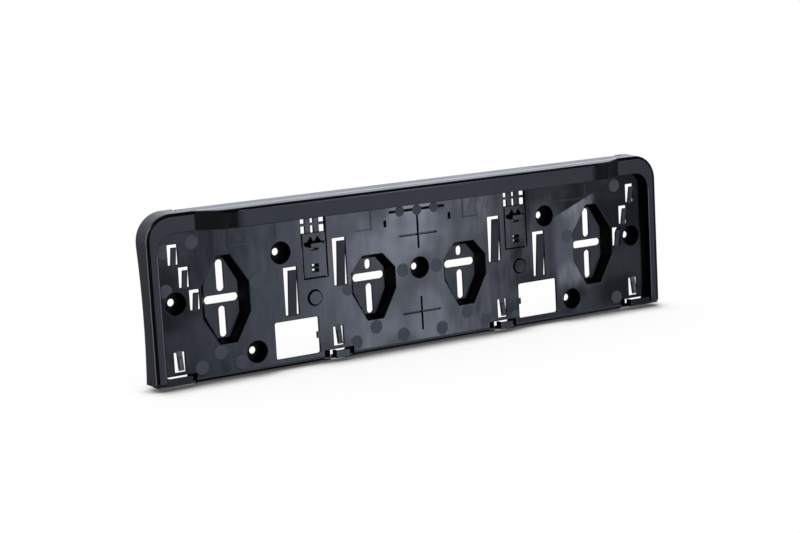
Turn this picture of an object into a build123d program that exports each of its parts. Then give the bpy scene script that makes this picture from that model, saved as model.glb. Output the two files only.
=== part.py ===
from build123d import *
import math
import os

os.makedirs("parts", exist_ok=True)

# Number plate holder: one moulding that takes a 520 x 110 mm plate pushed up from below.
# X runs to the right, Z up, the viewer stands at -Y. The origin is the middle screw hole on
# the seat, the plane in which the screw cups and screw pockets touch the car. Distances called
# "front" are measured from the seat towards the viewer.

# Sizes in millimetres, angles in degrees
plate_width = 520.0
plate_clearance = 3.26
lip_overlap = 4.4
wall = 2.2
top_height = 77.95
rail_foot = -66.3
corner_radius = 24.5
mould_draft = 3.83
panel_front = 11.4
panel_thickness = 2.0
lip_front = 19.25
lip_low = 60.0
lip_corner_radius = 14.0
edge_radius = 2.2
edge_break = 0.4
edge_break_angle = 45.0
lip_edge_radius = 0.6
panel_foot = -70.8
foot_radius = 5.5
foot_back = 4.0

# Raised bar along the middle of the top rail
bar_front = 33.4
rail_end_length = 45.75
bar_slope = 31.0
bar_blend_radius = 30.0
bar_edge_radius = 2.0

# Back edges of the skirt
top_skirt_back = 3.6
notch_inset = 33.95
notch_width = 2.2
notch_depth = 5.0
side_relief = 3.6
side_relief_middle = -9.0
side_relief_half_length = 59.0

# Upright columns shared by screw cups, strip tongues and strip hooks
end_column_inset = 15.6
strip_column_x = 87.1

# Screw cups
upper_cup = (139.2, 30.6)
lower_cup = (167.2, -51.7)
cup_radius = 9.5
cup_wall = 1.8
seat_floor = 1.8
screw_hole_radius = 3.25

# Screw pockets
outer_pocket_step = 46.5
inner_pocket_x = 48.3
pocket_half_width = 22.3
pocket_side_inset = 6.1
pocket_end_inset = 3.6
pocket_wall = 1.9
pocket_taper = 0.4
pocket_foot = -40.3
pocket_foot_half = 8.2
outer_pocket_head = 35.4
outer_pocket_head_half = 6.2
outer_pocket_shoulders = (10.9, -16.2)
inner_pocket_head = 17.5
inner_pocket_head_half = 10.2
inner_pocket_shoulders = (4.0, -15.2)
cross_slot_length = 32.0
cross_slot_width = 7.0
cross_slot_z = -2.75
long_slot_width = 6.5
long_slot_low = (-36.0, -9.2)
outer_slot_width = 7.1
outer_slot_high = (3.5, 30.8)
short_slot_width = 5.9
short_slot_high = (3.9, 12.7)
short_slot_corner = 2.9

# Spring tongues that push the plate against the lip
tongue_thickness = 1.6
tongue_root_grip = 1.0
long_tongue_places = [(131.0, -24.8), (81.5, -5.0)]
long_tongue_cut = (13.3, 41.8)
long_tongue_side_gap = 2.7
long_tongue_tip_gap = 2.2
long_tongue_lean = 4.0
small_tongue_steps = [(0.4, 32.7), (9.2, 12.7), (17.7, -7.4)]
small_tongue_cut = (9.4, 17.3)
small_tongue_side_gap = 2.35
small_tongue_tip_gap = 2.3
small_tongue_lean = 3.2
strip_tongue_root = -41.0
strip_tongue_cut = (10.1, 17.2)
strip_tongue_side_gap = 2.6
strip_tongue_tip_gap = 1.9
strip_tongue_lean = 2.7
strip_pad_width = 3.7
strip_pad_low = 2.2
strip_pad_high = 11.0
strip_pad_height = 0.8

# Hooks for the clip-on bottom strip
hook_recess_half = 14.8
hook_recess_head = -60.9
hook_recess_back = 8.5
hook_recess_wall = 1.5
hook_opening_half = 8.0
hook_half = 6.85
hook_front = 17.8
hook_cheek_back = 10.6
hook_head = -61.3
hook_foot = -67.7
hook_wall = 1.9
hook_bar_z = (-69.2, -67.4)
hook_bar_front = 9.0
end_hook_inner_reach = 7.8
end_opening_outer_reach = 12.5

# Windows
window_x = 127.6
window_z = -45.7
window_width = 43.0
window_height = 32.4
window_radius = 2.0
nub_reach = 2.2
nub_z = (-48.5, -43.0)

# Hinged flap with lattice
flap_x = 105.95
flap_half = 12.4
flap_foot = 4.6
flap_head = 44.0
flap_gap = 1.1
lattice_head = 57.0
lattice_front = 9.1
lattice_back = 7.1
lattice_bar_offset = 4.25
lattice_bar_width = 5.5
lattice_rail_z = 51.4
lattice_rail_height = 2.3
lattice_rim = 1.6
latch_half = 6.2
latch_z = (31.8, 35.8)
latch_front = 16.6
latch_slot_half = 9.8
latch_slot_z = (33.4, 36.0)
latch_peak_offset = 3.5
latch_peak_half = 3.3
latch_peak_head = 41.0
latch_pocket_back = 6.0
latch_pocket_wall = 1.2
latch_foot_slot = (7.4, 1.5)
latch_foot_slot_z = 29.6
flap_hole = (6.6, 7.2)
flap_hole_z = 13.2
flap_hole_bar = 1.0
socket_back = 2.6
socket_wall = 1.2

# Small marks on the panel
stud_x = 108.3
stud_z = -12.7
stud_base_radius = 7.3
stud_top_radius = 6.0
stud_height = 1.6
groove_width = 1.4
groove_depth = 1.6
cross_half_width = 19.7
cross_marks = [(30.35, 17.7, 47.3), (-40.15, -56.6, -26.3)]
head_groove_z = 52.9
head_groove_half = 29.0
head_groove_height = 1.9
dash_x = 33.8
dash_z = 43.2
dash_size = (2.4, 5.6)

# Reach of cuts that run out of the part, and nearness of edges to a plane
past = 20.0
near = 0.01

slope_per_front = math.tan(math.radians(mould_draft))
half_width = plate_width / 2 + plate_clearance + wall + lip_front * slope_per_front
panel_back = panel_front - panel_thickness
lip_half_width = plate_width / 2 - lip_overlap
bar_crease_x = half_width - rail_end_length
notch_x = half_width - notch_inset
end_column_x = lip_half_width - end_column_inset
outer_pocket_x = end_column_x - outer_pocket_step
cup_places = [(end_column_x, 0.0), upper_cup, lower_cup]
curl_top = panel_foot + 2 * foot_radius
curl_half_length = end_column_x - hook_recess_half
small_tongue_places = [(end_column_x - step, z) for step, z in small_tongue_steps]
strip_tongue_places = [(x, strip_tongue_root) for x in (end_column_x, strip_column_x)]
through_wall = 4 * wall
stud_taper = math.degrees(math.atan((stud_base_radius - stud_top_radius) / stud_height))


def front_plane(front):
    return Plane.XZ.offset(front)


def outline(front, inset, foot):
    # Skirt outline at a distance in front of the seat, drawn in by a wall thickness
    shrink = front * slope_per_front + inset
    half = half_width - shrink
    head = top_height - shrink
    radius = corner_radius - shrink
    with BuildSketch() as drawing:
        with BuildLine():
            Polyline((-half, head - radius), (-half, foot), (half, foot), (half, head - radius))
            RadiusArc((half, head - radius), (half - radius, head), -radius)
            Line((half - radius, head), (-half + radius, head))
            RadiusArc((-half + radius, head), (-half, head - radius), -radius)
        make_face()
    return drawing.sketch


def bar_plan(inset, back):
    # Plan of the raised bar, flat in the middle and running back to the rail at both ends
    angle = math.radians(bar_slope)
    crease = bar_crease_x - inset * math.tan(angle / 2)
    reach = (bar_front - lip_front) / math.tan(angle)
    rail = inset - lip_front
    front = inset - bar_front
    radius = bar_blend_radius - inset
    with BuildSketch() as drawing:
        with BuildLine():
            FilletPolyline(
                (-crease, rail),
                (reach - crease, front),
                (crease - reach, front),
                (crease, rail),
                radius=radius,
            )
            Polyline((crease, rail), (crease, -back), (-crease, -back), (-crease, rail))
        make_face()
    return drawing.sketch


def top_plane(inset):
    # Sloping plane of the top wall
    angle = math.radians(mould_draft)
    head = top_height - inset / math.cos(angle)
    return Plane(origin=(0, 0, head), x_dir=(1, 0, 0), z_dir=(0, -math.sin(angle), math.cos(angle)))


def pocket_outline(pocket, front, grow):
    # Eight-sided pocket wall at a distance in front of the seat, grown outwards by a wall thickness
    x, head, head_half, shoulders = pocket
    share = (panel_front - front) / (panel_front - seat_floor)
    side = grow - pocket_side_inset * share
    end = grow - pocket_end_inset * share
    half = pocket_half_width + side
    top = head + end
    top_half = head_half + pocket_taper * side
    foot = pocket_foot - end
    foot_half = pocket_foot_half + pocket_taper * side
    upper_right = [(x + top_half, top), (x + half, shoulders[0])]
    lower_right = [(x + half, shoulders[1]), (x + foot_half, foot)]
    right_side = upper_right + lower_right
    left_side = [(2 * x - px, pz) for px, pz in reversed(right_side)]
    with BuildSketch() as drawing:
        with BuildLine():
            Polyline(*right_side, *left_side, close=True)
        make_face()
    return drawing.sketch


def tongue_side(root, tip, lean, thickness, start):
    # Side view of a tongue that leaves the panel at its root and stands forward at its tip
    front = -panel_front
    with BuildSketch() as drawing:
        with BuildLine():
            Polyline(
                (front + start + thickness, root),
                (front + start, root),
                (front - lean, tip),
                (front - lean + thickness, tip),
                close=True,
            )
        make_face()
    return drawing.sketch


def both_sides(places):
    return [(side * x, z) for x, z in places for side in (-1, 1)]


def middle(span):
    return (span[0] + span[1]) / 2


def length(span):
    return abs(span[1] - span[0])


# Outer body: skirt, front rail and raised bar as solids
skirt = outline(0.0, 0.0, rail_foot - past)
plate_space = outline(panel_front, wall, rail_foot - past)
back_space = outline(0.0, wall, rail_foot - past)
bar_outside = bar_plan(0.0, panel_front)
bar_inside = bar_plan(wall, panel_front)
with BuildPart() as body:
    with BuildSketch(Plane.XZ):
        add(skirt)
    extrude(amount=lip_front, taper=mould_draft)
    split(bisect_by=Plane.XY.offset(rail_foot), keep=Keep.TOP)
    fillet(body.edges().filter_by_position(Axis.Y, -lip_front - near, -lip_front + near), radius=edge_radius)

with BuildPart() as bar:
    with BuildSketch(Plane.XY.offset(lip_low)):
        add(bar_outside)
    extrude(amount=past)
    split(bisect_by=top_plane(0.0), keep=Keep.BOTTOM)
    bar_top = bar.faces().sort_by(Axis.Z)[-1]
    bar_rim = [e for e in bar_top.edges() if e.center().Y < -lip_front - near]
    fillet(bar_rim, radius=bar_edge_radius)

# Hollow of the bar, open towards the plate
with BuildPart() as bar_hollow:
    with BuildSketch(Plane.XY.offset(lip_low - wall)):
        add(bar_inside)
    extrude(amount=past + wall)
    split(bisect_by=top_plane(wall), keep=Keep.BOTTOM)

with BuildPart() as shell:
    add(body.part)
    add(bar.part)
    # Plate space between panel and lip
    with BuildSketch(front_plane(panel_front)):
        add(plate_space)
    extrude(amount=lip_front - wall - panel_front, taper=mould_draft, mode=Mode.SUBTRACT)
    # Space behind the panel
    with BuildSketch(Plane.XZ):
        add(back_space)
    extrude(amount=panel_back, taper=mould_draft, mode=Mode.SUBTRACT)
    # Opening inside the lip
    with BuildSketch(front_plane(panel_front)):
        with Locations((0, (lip_low + rail_foot - past) / 2)):
            opening = Rectangle(2 * lip_half_width, lip_low - rail_foot + past)
        fillet(opening.vertices().sort_by(Axis.Y)[-2:], radius=lip_corner_radius)
    extrude(amount=past, mode=Mode.SUBTRACT)
    # Rounded inner edges of the lip and lower edges of the bar
    front_edges = shell.edges().filter_by_position(Axis.Y, -lip_front - near, -lip_front + near)
    inner_edges = [e for e in front_edges if abs(e.center().X) < lip_half_width + near]
    lip_edges = [e for e in inner_edges if e.center().Z < lip_low + near]
    low_edges = shell.edges().filter_by_position(Axis.Z, lip_low - near, lip_low + near)
    bar_edges = [e for e in low_edges if e.center().Y < -lip_front - near]
    fillet(lip_edges + bar_edges, radius=lip_edge_radius)
    add(bar_hollow.part, mode=Mode.SUBTRACT)
    # Lower edge of the panel, curled back between the end hooks
    with BuildSketch(front_plane(panel_back)):
        with Locations((0, curl_top - past / 2)):
            Rectangle(2 * curl_half_length, past)
    extrude(amount=panel_thickness, mode=Mode.SUBTRACT)
    with BuildSketch(Plane.YZ):
        with BuildLine():
            outer_curl = FilletPolyline(
                (-panel_front, curl_top),
                (-panel_front, panel_foot),
                (-foot_back, panel_foot),
                radius=foot_radius,
            )
            inner_curl = FilletPolyline(
                (-panel_back, curl_top),
                (-panel_back, panel_foot + panel_thickness),
                (-foot_back, panel_foot + panel_thickness),
                radius=foot_radius - panel_thickness,
            )
            Line(outer_curl @ 0, inner_curl @ 0)
            Line(outer_curl @ 1, inner_curl @ 1)
        make_face()
    extrude(amount=curl_half_length, both=True)
    # The top wall ends short of the seat between its two notches
    with BuildSketch(Plane.XZ):
        with Locations((0, top_height)):
            Rectangle(2 * notch_x, through_wall)
    extrude(amount=top_skirt_back, mode=Mode.SUBTRACT)
    with BuildSketch(front_plane(top_skirt_back)):
        with Locations((-notch_x, top_height), (notch_x, top_height)):
            Rectangle(notch_width, through_wall)
    extrude(amount=notch_depth, mode=Mode.SUBTRACT)
    # Shallow arc in the back edge of each side wall
    arc_radius = side_relief_half_length**2 / (2 * side_relief)
    for side in (-1, 1):
        with BuildSketch(Plane.YZ.offset(side * half_width)):
            with Locations((arc_radius - side_relief, side_relief_middle)):
                Circle(arc_radius)
        extrude(amount=through_wall, both=True, mode=Mode.SUBTRACT)


all_cups = [(0.0, 0.0)] + both_sides(cup_places)
outer_pocket = (outer_pocket_head, outer_pocket_head_half, outer_pocket_shoulders)
inner_pocket = (inner_pocket_head, inner_pocket_head_half, inner_pocket_shoulders)
all_pockets = [(side * outer_pocket_x, *outer_pocket) for side in (-1, 1)]
all_pockets += [(side * inner_pocket_x, *inner_pocket) for side in (-1, 1)]
brim_back = panel_front - edge_break

# Tongue kinds: cut size, side gap, tip gap, lean, and which way the tip points
long_kind = (long_tongue_cut, long_tongue_side_gap, long_tongue_tip_gap, long_tongue_lean, 1)
small_kind = (small_tongue_cut, small_tongue_side_gap, small_tongue_tip_gap, small_tongue_lean, 1)
strip_kind = (strip_tongue_cut, strip_tongue_side_gap, strip_tongue_tip_gap, strip_tongue_lean, -1)
tongue_kinds = [
    (both_sides(long_tongue_places), *long_kind),
    (both_sides(small_tongue_places), *small_kind),
    (both_sides(strip_tongue_places), *strip_kind),
]
tongue_cuts = []
tongue_bodies = []
pad_bodies = []
for places, cut, side_gap, tip_gap, lean, way in tongue_kinds:
    reach = cut[1] - tip_gap
    for x, root in places:
        tongue_cuts.append(((x, root + way * cut[1] / 2), cut))
        drawing = tongue_side(root - way * tongue_root_grip, root + way * reach, lean, tongue_thickness, 0.0)
        tongue_bodies.append((x, cut[0] - 2 * side_gap, drawing))
        if way < 0:
            low = root - reach + strip_pad_low
            high = root - reach + strip_pad_high
            pad_lean = lean * (root - low) / reach + strip_pad_height
            pad_start = -lean * (root - high) / reach - strip_pad_height
            pad = tongue_side(high, low, pad_lean, 2 * strip_pad_height, pad_start)
            pad_bodies.append((x, strip_pad_width, pad))

# Strip hooks: recess, opening and hook, each from one value of x to another
mid_hook = (strip_column_x - hook_half, strip_column_x + hook_half)
end_hook = (end_column_x - end_hook_inner_reach, half_width - lip_front * slope_per_front - wall / 2)
hook_sets = []
for side in (-1, 1):
    for x, hook, opening_end in (
        (strip_column_x, mid_hook, strip_column_x + hook_opening_half),
        (end_column_x, end_hook, end_column_x + end_opening_outer_reach),
    ):
        recess = (side * (x - hook_recess_half), side * (x + hook_recess_half))
        opening_span = (side * (x - hook_opening_half), side * opening_end)
        hook_hollow = (side * (hook[0] + hook_wall), side * min(hook[1] - hook_wall, opening_end))
        hook_sets.append((recess, opening_span, (side * hook[0], side * hook[1]), hook_hollow))

recess_span = (hook_bar_z[0], hook_recess_head)
flap_places = (-flap_x, flap_x)

# Pocket walls, pocket hollows and the broken edges of the pocket mouths
with BuildPart() as pocket_walls:
    for pocket in all_pockets:
        with BuildSketch(front_plane(panel_back)):
            add(pocket_outline(pocket, panel_back, pocket_wall))
        with BuildSketch(Plane.XZ):
            add(pocket_outline(pocket, 0.0, pocket_wall))
        loft(ruled=True)

with BuildPart() as pocket_hollows:
    for pocket in all_pockets:
        with BuildSketch(front_plane(panel_front)):
            add(pocket_outline(pocket, panel_front, 0.0))
        with BuildSketch(front_plane(seat_floor)):
            add(pocket_outline(pocket, seat_floor, 0.0))
        loft(ruled=True)

with BuildPart() as pocket_brims:
    for pocket in all_pockets:
        with BuildSketch(front_plane(panel_front)):
            add(pocket_outline(pocket, panel_front, edge_break))
        with BuildSketch(front_plane(brim_back)):
            add(pocket_outline(pocket, brim_back, 0.0))
        loft(ruled=True)

# Spring tongues with the pads on the lower ones
with BuildPart() as tongues:
    for x, width, drawing in tongue_bodies + pad_bodies:
        with BuildSketch(Plane.YZ.offset(x)):
            add(drawing)
        extrude(amount=width / 2, both=True)

with BuildPart() as holder:
    add(shell.part)

    # Cup and pocket walls behind the panel, down to the seat
    with BuildSketch(front_plane(panel_back)):
        with Locations(*all_cups):
            Circle(cup_radius + cup_wall)
    extrude(amount=-panel_back)
    add(pocket_walls.part)

    # Walls of the hook recesses, of the lattice and of the latch pockets behind the panel
    with BuildSketch(front_plane(hook_recess_back - hook_recess_wall)):
        for recess, _, _, _ in hook_sets:
            with Locations((middle(recess), middle(recess_span) + hook_recess_wall / 2)):
                Rectangle(length(recess) + 2 * hook_recess_wall, length(recess_span) + hook_recess_wall)
    extrude(amount=panel_back - hook_recess_back + hook_recess_wall)
    with BuildSketch(front_plane(lattice_back)):
        for x in flap_places:
            with Locations((x, (flap_head + lattice_head) / 2)):
                Rectangle(2 * (flap_half + lattice_rim), lattice_head - flap_head + 2 * lattice_rim)
    extrude(amount=panel_back - lattice_back)
    with BuildSketch(front_plane(latch_pocket_back - latch_pocket_wall)):
        for x in flap_places:
            with Locations((x, (latch_slot_z[0] + latch_peak_head) / 2)):
                Rectangle(
                    2 * (latch_slot_half + latch_pocket_wall),
                    latch_peak_head - latch_slot_z[0] + 2 * latch_pocket_wall,
                )
    extrude(amount=panel_back - latch_pocket_back + latch_pocket_wall)
    # Socket walls behind the two small openings of each flap
    with BuildSketch(front_plane(socket_back)):
        for x in flap_places:
            with Locations((x, latch_foot_slot_z)):
                Rectangle(latch_foot_slot[0] + 2 * socket_wall, latch_foot_slot[1] + 2 * socket_wall)
            with Locations((x, flap_hole_z)):
                Rectangle(flap_hole[0] + 2 * socket_wall, flap_hole[1] + 2 * socket_wall)
    extrude(amount=panel_back - socket_back)

    # Hollows of the cups and pockets
    with BuildSketch(front_plane(panel_front)):
        with Locations(*all_cups):
            Circle(cup_radius)
    extrude(amount=seat_floor - panel_front, mode=Mode.SUBTRACT)
    add(pocket_hollows.part, mode=Mode.SUBTRACT)

    # Broken edges round the mouths of cups and pockets
    with BuildSketch(front_plane(panel_front)):
        with Locations(*all_cups):
            Circle(cup_radius + edge_break)
    extrude(amount=-edge_break, taper=edge_break_angle, mode=Mode.SUBTRACT)
    add(pocket_brims.part, mode=Mode.SUBTRACT)

    # Screw holes and screw slots through the floors
    with BuildSketch(Plane.XZ):
        with Locations(*all_cups):
            Circle(screw_hole_radius)
        for side in (-1, 1):
            for x in (outer_pocket_x, inner_pocket_x):
                with Locations((side * x, cross_slot_z)):
                    SlotOverall(cross_slot_length, cross_slot_width)
                with Locations((side * x, middle(long_slot_low))):
                    SlotOverall(length(long_slot_low), long_slot_width, rotation=90)
            with Locations((side * outer_pocket_x, middle(outer_slot_high))):
                SlotOverall(length(outer_slot_high), outer_slot_width, rotation=90)
            with Locations((side * inner_pocket_x, middle(short_slot_high))):
                RectangleRounded(short_slot_width, length(short_slot_high), short_slot_corner)
    extrude(amount=seat_floor, mode=Mode.SUBTRACT)

    # Windows, tongue openings and flap cuts through the panel
    with BuildSketch(front_plane(panel_back)):
        for side in (-1, 1):
            with Locations((side * window_x, window_z)):
                RectangleRounded(window_width, window_height, window_radius)
            with Locations((side * (window_x - window_width / 2), middle(nub_z))):
                Rectangle(2 * nub_reach, length(nub_z), mode=Mode.SUBTRACT)
        for place, cut in tongue_cuts:
            with Locations(place):
                Rectangle(*cut)
        for x in flap_places:
            edge = flap_half - flap_gap / 2
            with Locations((x - edge, (flap_foot + flap_head) / 2), (x + edge, (flap_foot + flap_head) / 2)):
                Rectangle(flap_gap, flap_head - flap_foot)
            with Locations((x, middle(latch_slot_z))):
                Rectangle(2 * latch_slot_half, length(latch_slot_z))
            for offset_x in (-latch_peak_offset, latch_peak_offset):
                with BuildLine():
                    Polyline(
                        (x + offset_x - latch_peak_half, latch_slot_z[1]),
                        (x + offset_x + latch_peak_half, latch_slot_z[1]),
                        (x + offset_x, latch_peak_head),
                        close=True,
                    )
                make_face()
    extrude(amount=panel_thickness, mode=Mode.SUBTRACT)
    with BuildSketch(front_plane(socket_back)):
        for x in flap_places:
            with Locations((x, latch_foot_slot_z)):
                Rectangle(*latch_foot_slot)
            with Locations((x, flap_hole_z)):
                Rectangle(*flap_hole)
                Rectangle(flap_hole[0], flap_hole_bar, mode=Mode.SUBTRACT)
    extrude(amount=panel_front - socket_back, mode=Mode.SUBTRACT)
    with BuildSketch(front_plane(lattice_back)):
        for x in flap_places:
            with Locations((x, (flap_head + lattice_head) / 2)):
                Rectangle(2 * flap_half, lattice_head - flap_head)
    extrude(amount=panel_front - lattice_back, mode=Mode.SUBTRACT)
    with BuildSketch(front_plane(latch_pocket_back)):
        for x in flap_places:
            with Locations((x, (latch_slot_z[0] + latch_peak_head) / 2)):
                Rectangle(2 * latch_slot_half, latch_peak_head - latch_slot_z[0])
    extrude(amount=panel_back - latch_pocket_back, mode=Mode.SUBTRACT)

    # Recesses and openings for the bottom strip
    with BuildSketch(front_plane(hook_recess_back)):
        for recess, _, _, _ in hook_sets:
            with Locations((middle(recess), hook_recess_head - past / 2)):
                Rectangle(length(recess), past)
    extrude(amount=panel_front - hook_recess_back, mode=Mode.SUBTRACT)
    with BuildSketch(Plane.XZ):
        for _, opening_span, _, _ in hook_sets:
            with Locations((middle(opening_span), hook_recess_head - past / 2)):
                Rectangle(length(opening_span), past)
    extrude(amount=hook_recess_back, mode=Mode.SUBTRACT)

    # Grooves and short marks in the panel face
    with BuildSketch(front_plane(panel_front)):
        for mark_z, low, high in cross_marks:
            with Locations((0, (low + high) / 2)):
                Rectangle(groove_width, high - low)
            with Locations((0, mark_z)):
                Rectangle(2 * cross_half_width, groove_width)
        with Locations((0, head_groove_z)):
            Rectangle(2 * head_groove_half, head_groove_height)
        with Locations((-dash_x, dash_z), (dash_x, dash_z)):
            Rectangle(*dash_size)
        with Locations((-flap_x, flap_foot), (flap_x, flap_foot)):
            Rectangle(2 * flap_half, flap_gap)
    extrude(amount=-groove_depth, mode=Mode.SUBTRACT)

    # Spring tongues, strip hooks, studs, lattice bars and latches
    add(tongues.part)
    hook_back = hook_recess_back - hook_recess_wall
    with BuildSketch(front_plane(hook_back)):
        for recess, _, _, _ in hook_sets:
            with Locations((middle(recess), middle(hook_bar_z))):
                Rectangle(length(recess) + 2 * hook_recess_wall, length(hook_bar_z))
    extrude(amount=hook_bar_front - hook_back)
    with BuildSketch(front_plane(hook_back)):
        for _, _, hook, _ in hook_sets:
            with Locations((middle(hook), hook_foot + hook_wall / 2)):
                Rectangle(length(hook), hook_wall)
    extrude(amount=hook_front - hook_back)
    with BuildSketch(front_plane(hook_cheek_back)):
        for _, _, hook, _ in hook_sets:
            with Locations((middle(hook), (hook_foot + hook_head) / 2)):
                Rectangle(length(hook), hook_head - hook_foot)
    extrude(amount=hook_front - hook_cheek_back)
    with BuildSketch(front_plane(hook_cheek_back)):
        for _, _, _, hook_hollow in hook_sets:
            with Locations((middle(hook_hollow), (hook_foot + hook_wall + hook_head) / 2)):
                Rectangle(length(hook_hollow), hook_head - hook_foot - hook_wall)
    extrude(amount=hook_front - hook_wall - hook_cheek_back, mode=Mode.SUBTRACT)
    with BuildSketch(front_plane(panel_front)):
        with Locations((-stud_x, stud_z), (stud_x, stud_z)):
            Circle(stud_base_radius)
    extrude(amount=stud_height, taper=stud_taper)
    with BuildSketch(front_plane(lattice_back)):
        for x in flap_places:
            with Locations((x - lattice_bar_offset, (flap_head + lattice_head) / 2)):
                Rectangle(lattice_bar_width, lattice_head - flap_head)
            with Locations((x + lattice_bar_offset, (flap_head + lattice_head) / 2)):
                Rectangle(lattice_bar_width, lattice_head - flap_head)
            with Locations((x, lattice_rail_z)):
                Rectangle(2 * flap_half, lattice_rail_height)
    extrude(amount=lattice_front - lattice_back)
    with BuildSketch(front_plane(panel_front)):
        for x in flap_places:
            with Locations((x, middle(latch_z))):
                Rectangle(2 * latch_half, length(latch_z))
    extrude(amount=latch_front - panel_front)

holder.part.label = "plate_holder"
export_step(holder.part, "parts/plate_holder.step")
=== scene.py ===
import math

import bpy
import numpy as np
from mathutils import Matrix, Vector


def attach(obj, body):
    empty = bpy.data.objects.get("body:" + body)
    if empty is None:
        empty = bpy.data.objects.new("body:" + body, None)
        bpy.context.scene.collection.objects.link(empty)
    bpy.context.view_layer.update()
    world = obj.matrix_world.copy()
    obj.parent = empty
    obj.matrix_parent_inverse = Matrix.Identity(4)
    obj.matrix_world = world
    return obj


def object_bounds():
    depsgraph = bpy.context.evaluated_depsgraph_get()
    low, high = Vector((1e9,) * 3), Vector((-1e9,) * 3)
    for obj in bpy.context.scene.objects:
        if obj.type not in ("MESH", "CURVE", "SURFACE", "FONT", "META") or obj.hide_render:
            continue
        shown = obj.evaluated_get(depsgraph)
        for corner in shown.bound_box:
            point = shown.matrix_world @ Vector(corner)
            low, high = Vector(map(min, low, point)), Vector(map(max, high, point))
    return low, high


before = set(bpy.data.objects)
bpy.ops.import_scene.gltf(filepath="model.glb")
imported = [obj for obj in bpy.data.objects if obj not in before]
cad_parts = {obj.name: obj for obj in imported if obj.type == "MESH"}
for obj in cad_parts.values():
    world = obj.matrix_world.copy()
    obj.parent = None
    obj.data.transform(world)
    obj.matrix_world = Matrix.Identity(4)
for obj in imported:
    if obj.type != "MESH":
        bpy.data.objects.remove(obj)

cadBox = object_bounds()
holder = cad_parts["plate_holder"]
mm = 0.001  # metres
print("stage: frame loaded")


class Wire:  # a socket that can stand in sums, each sum adds its Math node
    def __init__(self, tree, socket=None):
        self.tree, self.socket = tree, socket

    # any node: its type, its settings, then the values or links of its sockets; several outputs make a list
    def node(self, kind, settings=None, sockets=None, output=0):
        made = self.tree.nodes.new(kind)
        for name, value in (settings or {}).items():
            setattr(made, name, value)
        for name, value in (sockets or {}).items():
            if isinstance(value, Wire):
                self.tree.links.new(value.socket, made.inputs[name])
            else:
                made.inputs[name].default_value = value
        if isinstance(output, tuple):
            return [Wire(self.tree, made.outputs[name]) for name in output]
        return Wire(self.tree, made.outputs[output] if made.outputs else None)

    def sum(self, operation, *parts):
        return self.node("ShaderNodeMath", {"operation": operation}, dict(enumerate(parts)))

    def __add__(self, other):
        return self.sum("ADD", self, other)

    def __radd__(self, other):
        return self.sum("ADD", other, self)

    def __sub__(self, other):
        return self.sum("SUBTRACT", self, other)

    def __rsub__(self, other):
        return self.sum("SUBTRACT", other, self)

    def __mul__(self, other):
        return self.sum("MULTIPLY", self, other)

    def __rmul__(self, other):
        return self.sum("MULTIPLY", other, self)

    def __truediv__(self, other):
        return self.sum("DIVIDE", self, other)

    def __rtruediv__(self, other):
        return self.sum("DIVIDE", other, self)

    def __abs__(self):
        return self.sum("ABSOLUTE", self)

    def least(self, other):
        return self.sum("MINIMUM", self, other)

    def most(self, other):
        return self.sum("MAXIMUM", self, other)

    def length(self, other):  # of the way that has these two parts, square to each other
        return self.sum("SQRT", self * self + other * other)

    def step(self, low, high):  # smooth 0 to 1 between low and high, or 1 to 0 where low is the larger
        first, last = (0.0, 1.0) if high > low else (1.0, 0.0)
        span = {"From Min": min(low, high), "From Max": max(low, high), "To Min": first, "To Max": last}
        smooth = {"interpolation_type": "SMOOTHSTEP"}
        return self.node("ShaderNodeMapRange", smooth, {"Value": self, **span})

    def band(self, low, high, soft):  # 1 between low and high, each end softened to both sides of it
        return self.step(low - soft, low + soft) * self.step(high + soft, high - soft)

    def axes(self):  # the three parts of a vector
        return self.node("ShaderNodeSeparateXYZ", None, {0: self}, (0, 1, 2))

    def vector(self, operation, first, second):  # second is a number for SCALE, else a vector
        sockets = {0: first, "Scale" if operation == "SCALE" else 1: second}
        return self.node("ShaderNodeVectorMath", {"operation": operation}, sockets)

    def noise(self, place, perMetre, detail, roughness):
        sockets = {"Vector": place, "Scale": perMetre, "Detail": detail, "Roughness": roughness}
        return self.node("ShaderNodeTexNoise", {"noise_dimensions": "3D"}, sockets)

    def blend(self, share, first, second):  # of two colours, by the colour sockets of Mix
        return self.node("ShaderNodeMix", {"data_type": "RGBA"}, {0: share, 6: first, 7: second}, 2)


def newMaterial(name):
    made = bpy.data.materials.new(name)
    made.use_nodes = True
    made.node_tree.nodes.clear()
    return made, Wire(made.node_tree)


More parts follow.
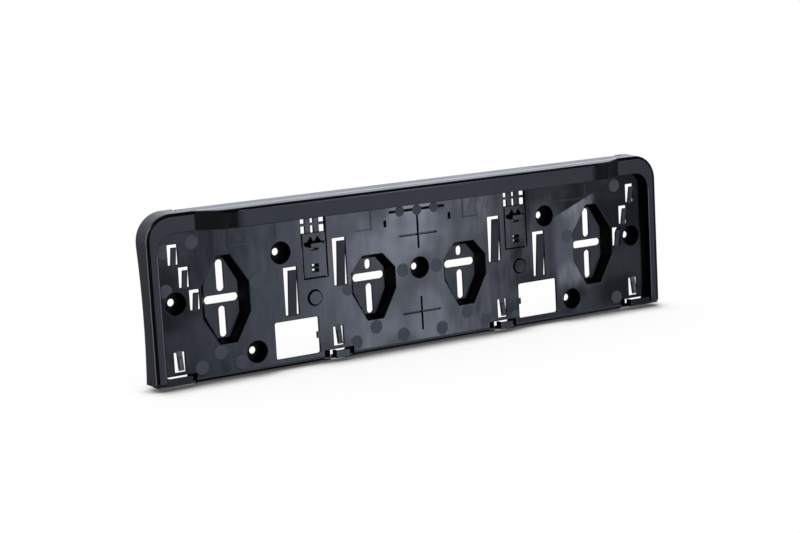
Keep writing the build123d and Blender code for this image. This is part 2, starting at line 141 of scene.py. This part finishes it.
# Moulded plastic: grained skirt and rails, smoother panel with slow waves, dull cut faces with painted
# shade.
# In millimetres: front is the distance before the seat, skin the depth below the outer side. Two numbers
# for a mask are where it starts and where it is full, three are from, to and softness
plastic = {
    "color": (0.0010, 0.0013, 0.0019, 1.0),
    "paleColor": (0.0022, 0.0026, 0.0036, 1.0),
    # near black colour of the cut faces, painted shade
    "cutShadeColor": (0.0006, 0.0007, 0.0010, 1.0),
    "ior": 1.46,
    # outer side
    "halfWidth": cadBox[1][0] / mm,
    "top": cadBox[1][2] / mm,
    "cornerRadius": 24.5,
    "draft": 0.06695,
    "shortest": 0.001,
    # grain and satin of skirt, rails and bar
    "grainSkin": (1.5, 0.9),
    "grainFront": (16.8, 17.1),
    "railFoot": (-58.8, -60.2),
    "railInside": (257.0, 255.0),
    "grainSize": 0.55,
    "grainDepth": 0.010,
    "grainDetail": (2.0, 0.6),  # of the noise: steps of detail, and how rough they are
    "grainRoughness": 0.32,
    "grainSpread": 0.06,
    "satinCloud": 0.14,
    # panel: slow waves, streaks where the melt ran, clouded gloss
    "waveLength": 46.0,
    "waveDepth": 0.26,
    "waveDetail": (2.0, 0.5),
    "waveMiddle": 0.5,
    "streakWidth": 12.0,
    "streakStretch": 0.28,
    "streakDepth": 0.055,
    "panelRoughness": 0.08,
    "cloudRange": (0.35, 0.68),
    "cloudRoughness": 0.13,
    "sunkFront": (9.2, 8.6),  # faces behind the panel are duller
    "sunkRoughness": 0.14,
    # rounded edges
    "edgeRounding": 0.70,
    "edgeSamples": 6,
    "edgeRoughness": 0.12,
    "edgeSkin": (2.5, 2.2),
    "railEdge": (17.05, 19.55, 0.15),
    "barEdge": (31.0, 31.4),
    # inner margin of the upright rails, which leans inwards
    "lipReach": (257.8, 255.6),
    "lipEnd": (255.2, 255.5),
    "lipFront": (18.75, 19.55, 0.1),
    "lipFade": (47.0, 42.0),
    "lipTilt": 0.13,
    "lipGloss": (0.0, 0.25),
    # outer margin of the rails, which leans outwards into the rounded edge
    "rimReach": (3.7, 2.2),
    "rimEnd": (1.3, 2.1),
    "rimFront": (18.45, 19.55, 0.2),
    "rimTilt": 0.42,
    # front of the bar, which begins to turn before its end slope takes over
    "bendX": (177.0, 197.0),
    "bendEnd": (206.0, 199.0),
    "bendTilt": 0.60,
    "barFront": (31.0, 31.6),
    # top of the bar, which turns into its front edge
    "rollSkin": (1.0, 0.6),
    "rollTop": (69.95, 72.95),
    "rollFront": (27.6, 32.4),
    "rollTilt": (0.0, -0.62, 0.0),
    # panel beside one outer pocket, which leans: a point of its upper edge, and how steeply that edge rises
    "warpEdge": (158.0, 31.2, 0.39),
    "warpEdgeSoft": 0.8,
    "warpX": (150.0, 196.0, 5.0),
    "warpZ": (-42.0, 60.0, 14.0),
    "warpFront": (11.0, 12.0, 0.2),
    "warpTilt": (-0.033, 0.0, 0.006),
    # cut faces, duller and with painted shade: walls by how little they face the front, floors by how far
    # back they lie
    "cutRoughness": 0.60,
    # weak gloss of the cut faces, which paints shade by hiding their reflections
    "cutShadeSpecular": 0.05,
    "cutSoft": 0.1,
    "insideSkin": (2.4, 2.8),
    "wallFacing": (0.64, 0.5),
    "wallFront": (19.55, 19.45),
    "grooveFront": (9.55, 10.8, 0.05),
    "latch": (105.95, 37.2, 10.0, 4.2),  # middle x and z, half width and half height of its pocket
    "latchFront": (8.8, 8.5),
    "stud": (108.3, -12.7, 5.9, 7.6),  # middle x and z, radii between which its side slopes
    "studFront": (11.5, 19.25, 0.05),
    "recessHead": (-61.2, -61.4),
    "recessFront": (7.5, 8.8, 0.1),
    "cups": [(0.0, 0.0), (240.0, 0.0), (139.2, 30.6), (167.2, -51.7)],  # x to both sides, and z
    "cupEdge": (9.7, 9.5),
    "cupFront": (0.3, 3.0, 0.1),
    # share of painted shade on the cup floors
    "cupShade": 0.90,
    "levelArms": (30.35, -40.15),  # z of the crosses' level arms, with less painted shade than the upright ones
    "levelArmX": (1.2, 20.4, 0.2),
    "levelArmHalf": 1.1,
    "levelShadeLess": 0.55,
    # seams of the tool's inserts: upright ones as x, z from and to, level ones as z, x from and to
    "uprightSeams": [(48.3, 40.2, 57.0), (142.9, 43.0, 57.0), (187.7, 40.5, 57.0)],
    "levelSeams": [(40.2, 48.3, 64.0), (42.2, 143.0, 187.7)],
    "barSeams": (-59.6, 68.7),  # x of each
    "seamLine": (-0.45, 0.45, 0.3),
    "seamEndSoft": 0.4,
    "seamHeight": 0.05,
    "barSeamHeight": 0.012,
}


def cornerWay(s, x, z):  # across and up, from the middle of the nearer rounded corner
    radius = s["cornerRadius"]
    return abs(x) - (s["halfWidth"] - radius), z - (s["top"] - radius)


# corner radius, less the way out from the corner's middle, and more where a point lies further in
def skinDepth(s, x, z, front):
    across, upward = cornerWay(s, x, z)
    depth = s["cornerRadius"] - across.most(0).length(upward.most(0)) - across.most(upward).least(0)
    return depth - front * s["draft"]


def outerWay(s, x, z):  # shares, across and up, of the shortest way out
    across, upward = [part.most(0) for part in cornerWay(s, x, z)]
    length = across.length(upward).most(s["shortest"])
    return across / length, upward / length


def grainedMask(s, x, z, front, skin):  # outside of the skirt, rails down to their feet, bar
    belowFoot = z.step(*s["railFoot"]) * abs(x).step(*s["railInside"])
    return skin.step(*s["grainSkin"]).most(front.step(*s["grainFront"]) * (1 - belowFoot))


def edgeMask(s, front, skin):  # rounded outer edges of the rail and of the bar
    return skin.step(*s["edgeSkin"]) * front.band(*s["railEdge"]).most(front.step(*s["barEdge"]))


def lipMask(s, x, z, front):  # inner margin of the upright rails, growing towards the edge
    margin = abs(x).step(*s["lipReach"]) * abs(x).step(*s["lipEnd"])
    return margin * front.band(*s["lipFront"]) * z.step(*s["lipFade"])


def rimMask(s, front, skin):  # outer margin of the rails, growing towards the edge
    return skin.step(*s["rimReach"]) * skin.step(*s["rimEnd"]) * front.band(*s["rimFront"])


def bendMask(s, x, front):  # both ends of the bar's front
    return abs(x).step(*s["bendX"]) * abs(x).step(*s["bendEnd"]) * front.step(*s["barFront"])


def rollMask(s, z, front, skin):  # top of the bar, growing towards the front
    return skin.step(*s["rollSkin"]) * z.step(*s["rollTop"]) * front.step(*s["rollFront"])


def warpMask(s, x, z, front):  # leaning patch: sharp slanted upper edge, soft elsewhere
    edgeX, edgeZ, rise = s["warpEdge"]
    soft = s["warpEdgeSoft"]
    under = (z - (x - edgeX) * rise).step(edgeZ + soft, edgeZ - soft)
    return under * x.band(*s["warpX"]) * z.band(*s["warpZ"]) * front.band(*s["warpFront"])


def cutFaceShadeMask(s, x, z, front, skin, facing):  # painted shade: the most of all cut faces, less on the level arms
    soft = s["cutSoft"]
    inside = skin.step(*s["insideSkin"])
    walls = abs(facing).step(*s["wallFacing"]) * front.step(*s["wallFront"]) * inside
    grooves = front.band(*s["grooveFront"]) * inside
    middleX, middleZ, half, rise = s["latch"]
    latches = (abs(x) - middleX).band(-half, half, soft) * (z - middleZ).band(-rise, rise, soft)
    latches = latches * front.step(*s["latchFront"])
    middleX, middleZ, inner, outer = s["stud"]
    studs = (abs(x) - middleX).length(z - middleZ).band(inner, outer, soft) * front.band(*s["studFront"])
    recesses = z.step(*s["recessHead"]) * front.band(*s["recessFront"])
    cut = walls.most(grooves).most(latches).most(studs).most(recesses)
    # cup floors darkened by painted shade
    for cupX, cupZ in s["cups"]:
        floor = (abs(x) - cupX).length(z - cupZ).step(*s["cupEdge"]) * front.band(*s["cupFront"])
        cut = cut.most(floor * s["cupShade"])
    half = s["levelArmHalf"]
    for level in s["levelArms"]:
        arm = (z - level).band(-half, half, soft) * abs(x).band(*s["levelArmX"])
        cut = cut * (1 - arm * s["levelShadeLess"])
    return cut


def panelSeams(s, x, z):  # sum of thin ridges that the tool's inserts leave on the panel
    lines, soft = 0.0, s["seamEndSoft"]
    for side, low, high in s["uprightSeams"]:
        lines = lines + (abs(x) - side).band(*s["seamLine"]) * z.band(low, high, soft)
    for level, inner, outer in s["levelSeams"]:
        lines = lines + (z - level).band(*s["seamLine"]) * abs(x).band(inner, outer, soft)
    return lines


def barSeams(s, x, front):  # sum of the ridges across the bar's front
    lines = 0.0
    for side in s["barSeams"]:
        lines = lines + (x - side).band(*s["seamLine"])
    return lines * front.step(*s["barFront"])


def holderPlastic(s, name):
    made, start = newMaterial(name)
    place = start.node("ShaderNodeTexCoord", output="Object")
    x, y, z = [part / mm for part in place.axes()]
    front = 0 - y
    facing = start.node("ShaderNodeNewGeometry", output="True Normal").axes()[1]
    skin = skinDepth(s, x, z, front)
    grained = grainedMask(s, x, z, front, skin)
    grain = start.noise(place, 1 / (s["grainSize"] * mm), *s["grainDetail"])
    wave = start.noise(place, 1 / (s["waveLength"] * mm), *s["waveDetail"])

    # height: grain and bar seams on the grained faces; waves, streaks and panel seams on the others
    stretch = (1.0, 1.0, s["streakStretch"])
    stretched = start.node("ShaderNodeMapping", None, {"Vector": place, "Scale": stretch})
    streak = start.noise(stretched, 1 / (s["streakWidth"] * mm), *s["waveDetail"])
    satinHeight = grain * s["grainDepth"] + barSeams(s, x, front) * s["barSeamHeight"]
    flow = wave * s["waveDepth"] + streak * s["streakDepth"] + panelSeams(s, x, z) * s["seamHeight"]
    height = grained * satinHeight + (1 - grained) * flow
    rounding = {"Radius": s["edgeRounding"] * mm}
    rounded = start.node("ShaderNodeBevel", {"samples": s["edgeSamples"]}, rounding)
    bump = start.node("ShaderNodeBump", None,
                      {"Strength": 1.0, "Distance": mm, "Height": height, "Normal": rounded})

    # normal: the bumped one leans by each mask times its tilt
    lip, rim = lipMask(s, x, z, front), rimMask(s, front, skin)
    outX, outZ = outerWay(s, x, z)
    outward = rim * outX * s["rimTilt"] - lip * s["lipTilt"] + bendMask(s, x, front) * s["bendTilt"]
    sideways = {0: x.sum("SIGN", x) * outward, 2: rim * outZ * s["rimTilt"]}
    margins = start.node("ShaderNodeCombineXYZ", None, sideways)
    warp = start.vector("SCALE", s["warpTilt"], warpMask(s, x, z, front))
    roll = start.vector("SCALE", s["rollTilt"], rollMask(s, z, front, skin))
    leaning = bump
    for tilt in (warp, margins, roll):
        leaning = start.vector("ADD", leaning, tilt)
    normal = start.node("ShaderNodeVectorMath", {"operation": "NORMALIZE"}, {0: leaning})

    # roughness: clouded satin with glossier edges, clouded panel
    cloud = wave.step(*s["cloudRange"])
    satin = s["grainRoughness"] + s["grainSpread"] * grain + s["satinCloud"] * (wave - s["waveMiddle"])
    edges = edgeMask(s, front, skin).most(lip.step(*s["lipGloss"])).most(rim)
    satin = satin + edges * (s["edgeRoughness"] - satin)
    sunk = front.step(*s["sunkFront"])
    gloss = s["panelRoughness"] + cloud * s["cloudRoughness"] + sunk * s["sunkRoughness"]
    rough = grained * satin + (1 - grained) * gloss

    tone = start.blend((grain + cloud) / 2, s["color"], s["paleColor"])
    skinFinish = start.node("ShaderNodeBsdfPrincipled", None,
                            {"Base Color": tone, "Roughness": rough, "IOR": s["ior"], "Normal": normal})
    # cut faces: duller finish, darkened as painted shade by a near black colour and weak gloss
    cutFaceShadeFinish = start.node("ShaderNodeBsdfPrincipled", None,
                           {"Base Color": s["cutShadeColor"], "Roughness": s["cutRoughness"], "IOR": s["ior"],
                            "Specular IOR Level": s["cutShadeSpecular"], "Normal": bump})
    cut = cutFaceShadeMask(s, x, z, front, skin, facing)
    mixed = start.node("ShaderNodeMixShader", None, {0: cut, 1: skinFinish, 2: cutFaceShadeFinish})
    start.node("ShaderNodeOutputMaterial", None, {"Surface": mixed})
    return made


holder.data.materials.clear()
holder.data.materials.append(holderPlastic(plastic, "mouldedPlastic"))
print("stage: plastic")


def addPiece(name, points, faces, material):
    mesh = bpy.data.meshes.new(name)
    mesh.from_pydata(points.tolist(), [], faces)
    mesh.materials.append(material)
    piece = bpy.data.objects.new(name, mesh)
    bpy.context.scene.collection.objects.link(piece)
    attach(piece, "root")
    return piece


# Marks of the ejector pins: flat pads a hair above the panel, sizes in millimetres
pinMarks = {
    "radius": 6.13,
    "height": 0.14,
    "sunk": 0.12,
    "panelFront": 11.4,
    "turns": 56,
    "shortest": 1e-6,
    "color": (0.0420, 0.0480, 0.0600, 1.0),
    "dark": (0.0330, 0.0380, 0.0480, 1.0),
    "roughness": 0.52,
    "roughSpread": 0.08,
    "grainSize": 0.5,
    "grainDetail": (2.0, 0.6),
    "ior": 1.46,
    # rings of the pad: share of the radius, share of the height
    "rings": [(0.55, 1.0), (0.94, 1.0), (0.985, 0.86), (1.0, 0.5)],
    # mirrored places (x, z), each with the straight edges that cut it: (direction x, direction z, distance)
    "pairs": [
        (219.9, -57.4), (164.2, 8.7), (74.75, -9.45, (-1, 0, 3.5), (0, 1, 4.25)), (48.45, -47.2),
        (69.4, -58.2, (0.735, -0.678, 3.5)), (20.5, -58.25), (17.95, -0.3), (221.6, 50.3),
        (102.0, -59.5, (1, 0, 3.8), (0, -1, 1.2)),
    ],
    "singles": [
        (-201.6, -46.7, (0, 1, 5.7)), (-182.4, -57.9), (-247.9, 44.9, (1, 0, 3.3)),
        (-248.2, 11.3, (0.587, -0.809, 3.8)),
    ],
    "smallRadius": 4.75,
    "small": [(-17.95, 52.7), (0.0, 52.2), (17.95, 52.7)],
}


def pinMarkPlaces(s):  # centre, full radius and cutting edges of every mark
    mirrored = [(-x, z, *[(-a, b, c) for a, b, c in cuts]) for x, z, *cuts in s["pairs"]]
    wide = s["pairs"] + mirrored + s["singles"]
    places = wide + s["small"]
    centre = np.array([place[:2] for place in places], float)
    radius = np.where(np.arange(len(places)) < len(wide), s["radius"], s["smallRadius"])
    noCut = (0, 0, 1.0)  # an edge without a direction cuts nothing
    most = max(len(place) - 2 for place in places)
    cuts = [[*place[2:]] + [noCut] * (most - len(place) + 2) for place in places]
    return centre, radius, np.array(cuts, float)


def onPanel(s, flat, lift):  # points at flat's x and z, lifted off the panel's front
    front = np.broadcast_to(s["panelFront"] + lift, flat.shape[:-1])
    return np.stack([flat[..., 0], -front, flat[..., 1]], -1)


def pinMarkFaces(marks, levels, turns):  # quads from ring to ring, triangles to the points above and below
    now = np.arange(turns)
    after = (now + 1) % turns
    inner = np.arange(levels - 1)[:, None] * turns
    outer = inner + turns
    sides = np.stack([inner + now, outer + now, outer + after, inner + after], -1).reshape(-1, 4)
    last, above = (levels - 1) * turns, levels * turns
    top = np.column_stack([np.full(turns, above), now, after])
    under = np.column_stack([np.full(turns, above + 1), last + after, last + now])
    shift = np.arange(marks)[:, None, None] * (above + 2)
    quads = (sides[None] + shift).reshape(-1, 4)
    caps = (np.concatenate([top, under])[None] + shift).reshape(-1, 3)
    return quads.tolist() + caps.tolist()


# radius at each angle is the least of the full radius and the way to each cutting edge; the pad is that
# outline times a profile of share and height, closed by one point above and one below
def pinMarkSurface(s):
    centre, radius, cuts = pinMarkPlaces(s)
    angle = np.linspace(0, 2 * np.pi, s["turns"], endpoint=False)
    ways = np.stack([np.cos(angle), np.sin(angle)], 1)
    toward = np.einsum("pcd,ad->pca", cuts[:, :, :2], ways)  # pads, cutting edges, angles
    met = np.maximum(toward, s["shortest"])
    reach = np.where(toward > s["shortest"], cuts[:, :, 2:] / met, np.inf).min(1)
    outline = np.minimum(reach, radius[:, None])
    rings = np.array(s["rings"] + [(1.0, -s["sunk"] / s["height"])])
    across = outline[:, None, :, None] * rings[None, :, None, :1] * ways[None, None, :, :]
    wall = onPanel(s, across + centre[:, None, None, :], rings[:, 1:] * s["height"])
    poles = onPanel(s, centre[:, None, :].repeat(2, 1), np.array([s["height"], -s["sunk"]]))
    points = np.concatenate([wall.reshape(len(centre), -1, 3), poles], 1)
    return points.reshape(-1, 3) * mm, pinMarkFaces(len(centre), len(rings), s["turns"])


def pinMarkPlastic(s, name):  # matt and paler than the panel, with a fine grain
    made, start = newMaterial(name)
    place = start.node("ShaderNodeTexCoord", output="Object")
    grain = start.noise(place, 1 / (s["grainSize"] * mm), *s["grainDetail"])
    tone = start.blend(grain, s["dark"], s["color"])
    rough = s["roughness"] + s["roughSpread"] * grain
    body = start.node("ShaderNodeBsdfPrincipled", None,
                      {"Base Color": tone, "Roughness": rough, "IOR": s["ior"]})
    start.node("ShaderNodeOutputMaterial", None, {"Surface": body})
    return made


addPiece("ejector_marks", *pinMarkSurface(pinMarks), pinMarkPlastic(pinMarks, "pinMarkPlastic"))
print("stage: ejector marks", len(pinMarkPlaces(pinMarks)[0]))


# Studio, in metres: white floor with a painted contact shadow, and a surround of soft panels, papers and
# floors
studio = {
    "floorZ": cadBox[0][2],
    "floorSize": 12.0,
    "floorTone": (0.98, 0.98, 0.98, 1.0),
    "floorWhite": 0.88,
    # painted contact shadow: reach and samples of the occlusion test, openness where it starts and is full,
    # ends across, strength
    "contactReach": 0.034,
    "contactSamples": 8,
    "contactOpen": (1.0, 0.50),
    "contactShadowEnds": (0.284, 0.258),
    "contactShadowPaint": 0.90,
    "diffuseLevel": 1.02,
    "white": (1.0, 1.0, 1.0, 1.0),
    "black": (0.0, 0.0, 0.0, 1.0),
    "frontTint": (0.84, 0.95, 1.23, 1.0),
    "patchTint": (0.92, 0.975, 1.14, 1.0),
    "backTint": (0.93, 0.97, 1.09, 1.0),
    "roomLevel": 0.03,
    # each light of the surround: level, turn from and to in degrees (0 in front, 90 right), softness of its
    # sides, rise from and to, softness of its upper and lower edge
    "frontLights": {
        "frontPaper": (0.27, 4.0, 48.0, 12.0, -16.0, -2.5, 2.0),
        "frontPanel": (1.5, -4.0, 54.0, 9.0, 0.5, 14.0, 2.0),
        "leftPanel": (2.1, -6.0, 24.5, 3.5, -2.5, 16.0, 2.0),
        "rightPanel": (1.2, 36.0, 50.0, 3.0, 2.0, 14.0, 2.0),
        "wideGlow": (1.8, 26.0, 32.9, 2.8, -16.0, -3.5, 2.5),
        "floorPaper": (1.0, 4.0, 52.0, 12.0, -46.0, -17.0, 5.0),
        "rightRoom": (0.10, 76.0, 110.0, 10.0, -30.0, 40.0, 8.0),
    },
    "patchLights": {
        "lowPatch": (4.3, 30.2, 32.4, 2.3, -14.0, -4.0, 2.5),
        "upperPatch": (2.6, 29.4, 32.6, 1.4, -8.3, -3.0, 1.0),
    },
    "backLights": {
        "backPaper": (1.7, 122.0, 400.0, 10.0, -5.0, 38.0, 7.0),
        "backPaperLeft": (1.7, -400.0, -165.0, 15.0, -5.0, 38.0, 7.0),
        "leftPaper": (0.22, -163.0, -112.0, 12.0, -40.0, 50.0, 8.0),
        "leftSoftbox": (6.5, -130.0, -84.0, 6.0, 18.0, 48.0, 12.0),
        "leftStrip": (5.0, -120.0, -92.0, 6.0, -16.0, 14.0, 6.0),
        "floorBehind": (0.8, 108.0, 172.0, 12.0, -58.0, -24.0, 6.0),
        "rearFloor": (1.0, 118.0, 186.0, 8.0, -26.0, -3.0, 4.0),
        "leftFloor": (0.9, -84.0, -41.0, 8.0, -36.0, -15.0, 3.0),
        "middleFloor": (0.8, -44.0, 6.0, 8.0, -52.0, -24.0, 4.0),
        "rightFloor": (0.8, 66.0, 112.0, 8.0, -52.0, -21.0, 4.0),
        "ceiling": (0.8, -400.0, 400.0, 1.0, 74.0, 120.0, 5.0),
    },
    "lampPlace": (-0.2, 0.5, 1.6),
    "lampSize": (1.4, 1.0),
    "lampPower": 3.0,
}


def lightPath(start):  # which rays come from the camera, from a gloss and through a clear piece
    kinds = ("Is Camera Ray", "Is Glossy Ray", "Is Transmission Ray")
    return start.node("ShaderNodeLightPath", output=kinds)


# paper that is seen as nearly white, with a painted shadow where the part stands close above it, inside its
# ends
def floorPaper(s, name):
    made, start = newMaterial(name)
    isCamera, isGlossy, isClear = lightPath(start)
    paper = start.node("ShaderNodeBsdfDiffuse", None, {"Color": s["floorTone"]})
    white = start.node("ShaderNodeEmission", None, {"Color": s["white"], "Strength": 1.0})
    seen = isCamera.most(isGlossy).most(isClear) * s["floorWhite"]
    mixed = start.node("ShaderNodeMixShader", None, {0: seen, 1: paper, 2: white})
    openness = start.node("ShaderNodeAmbientOcclusion", {"samples": s["contactSamples"]},
                          {"Distance": s["contactReach"]}, "AO")
    across = abs(start.node("ShaderNodeTexCoord", output="Object").axes()[0])
    paintedShadowShare = openness.step(*s["contactOpen"]) * across.step(*s["contactShadowEnds"]) * s["contactShadowPaint"]
    # black emission mixed in as the painted shadow
    dark = start.node("ShaderNodeEmission", None, {"Color": s["black"], "Strength": 0.0})
    paintedShadowMix = start.node("ShaderNodeMixShader", None, {0: paintedShadowShare, 1: mixed, 2: dark})
    start.node("ShaderNodeOutputMaterial", None, {"Surface": paintedShadowMix})
    return made


def makeFloor(s):  # one square, level with the part's lowest point
    corners = np.array([[-1, -1], [1, -1], [1, 1], [-1, 1]]) * s["floorSize"] / 2
    points = np.column_stack([corners, np.full(len(corners), s["floorZ"])])
    mesh = bpy.data.meshes.new("floor")
    mesh.from_pydata(points.tolist(), [], [(0, 1, 2, 3)])
    mesh.materials.append(floorPaper(s, "floorPaper"))
    floor = bpy.data.objects.new("floor", mesh)
    bpy.context.scene.collection.objects.link(floor)
    floor.visible_glossy = False  # gloss looks through to the surround, which has floors of its own


# gloss sees the sum of the lights, each a band of turn times a band of rise; every other ray sees white
def makeSurround(s):
    world = bpy.data.worlds.new("surround")
    bpy.context.scene.world = world
    world.use_nodes = True
    world.node_tree.nodes.clear()
    start = Wire(world.node_tree)
    dx, dy, dz = start.node("ShaderNodeTexCoord", output="Generated").axes()
    degrees = 180 / math.pi
    turn = start.sum("ARCTAN2", dx, 0 - dy) * degrees
    rise = start.sum("ARCSINE", dz) * degrees
    gloss = start.node("ShaderNodeBackground", None, {"Color": s["white"], "Strength": s["roomLevel"]})
    for group in ("front", "patch", "back"):
        level = 0.0
        for strength, left, right, soft, low, high, edge in s[group + "Lights"].values():
            level = level + turn.band(left, right, soft) * rise.band(low, high, edge) * strength
        glow = start.node("ShaderNodeBackground", None, {"Color": s[group + "Tint"], "Strength": level})
        gloss = start.node("ShaderNodeAddShader", None, {0: gloss, 1: glow})
    isCamera, isGlossy, isClear = lightPath(start)
    plainLevel = isCamera + (1 - isCamera) * s["diffuseLevel"]
    plain = start.node("ShaderNodeBackground", None, {"Color": s["white"], "Strength": plainLevel})
    mixed = start.node("ShaderNodeMixShader", None, {0: isGlossy.most(isClear), 1: plain, 2: gloss})
    start.node("ShaderNodeOutputWorld", None, {"Surface": mixed})


def areaLamp(name, place, size, power):  # aimed at the origin
    data = bpy.data.lights.new(name, "AREA")
    data.shape = "RECTANGLE"
    data.size, data.size_y = size
    data.energy = power
    lamp = bpy.data.objects.new(name, data)
    bpy.context.scene.collection.objects.link(lamp)
    aim = (-Vector(place)).to_track_quat("-Z", "Y")
    lamp.matrix_world = Matrix.Translation(place) @ aim.to_matrix().to_4x4()
    lamp.visible_camera = False
    lamp.visible_glossy = False
    return lamp


makeFloor(studio)
makeSurround(studio)
areaLamp("overheadSoftbox", studio["lampPlace"], studio["lampSize"], studio["lampPower"])
print("stage: studio")


# Camera at the photograph's angle: place in metres, lens and sensor in millimetres
view = {
    "place": (-0.86789, -1.42823, 0.26390),
    "right": (0.8525, -0.5199, -0.0550),
    "up": (0.1277, 0.1050, 0.9863),
    "lens": 84.33,
    "sensor": 36.0,
    "clip": (0.01, 100.0),
}


def makeCamera(s):
    data = bpy.data.cameras.new("camera")
    data.lens, data.sensor_width, data.sensor_fit = s["lens"], s["sensor"], "HORIZONTAL"
    data.clip_start, data.clip_end = s["clip"]
    camera = bpy.data.objects.new("camera", data)
    bpy.context.scene.collection.objects.link(camera)
    right = np.array(s["right"]) / np.linalg.norm(s["right"])
    up = np.array(s["up"]) - right * np.dot(right, s["up"])  # square to right
    up = up / np.linalg.norm(up)
    turned = np.eye(4)
    turned[:3] = np.column_stack([right, up, np.cross(right, up), s["place"]])
    camera.matrix_world = Matrix(turned.tolist())
    bpy.context.scene.camera = camera


makeCamera(view)
bpy.context.scene.view_settings.view_transform = "Standard"
print("stage: camera")
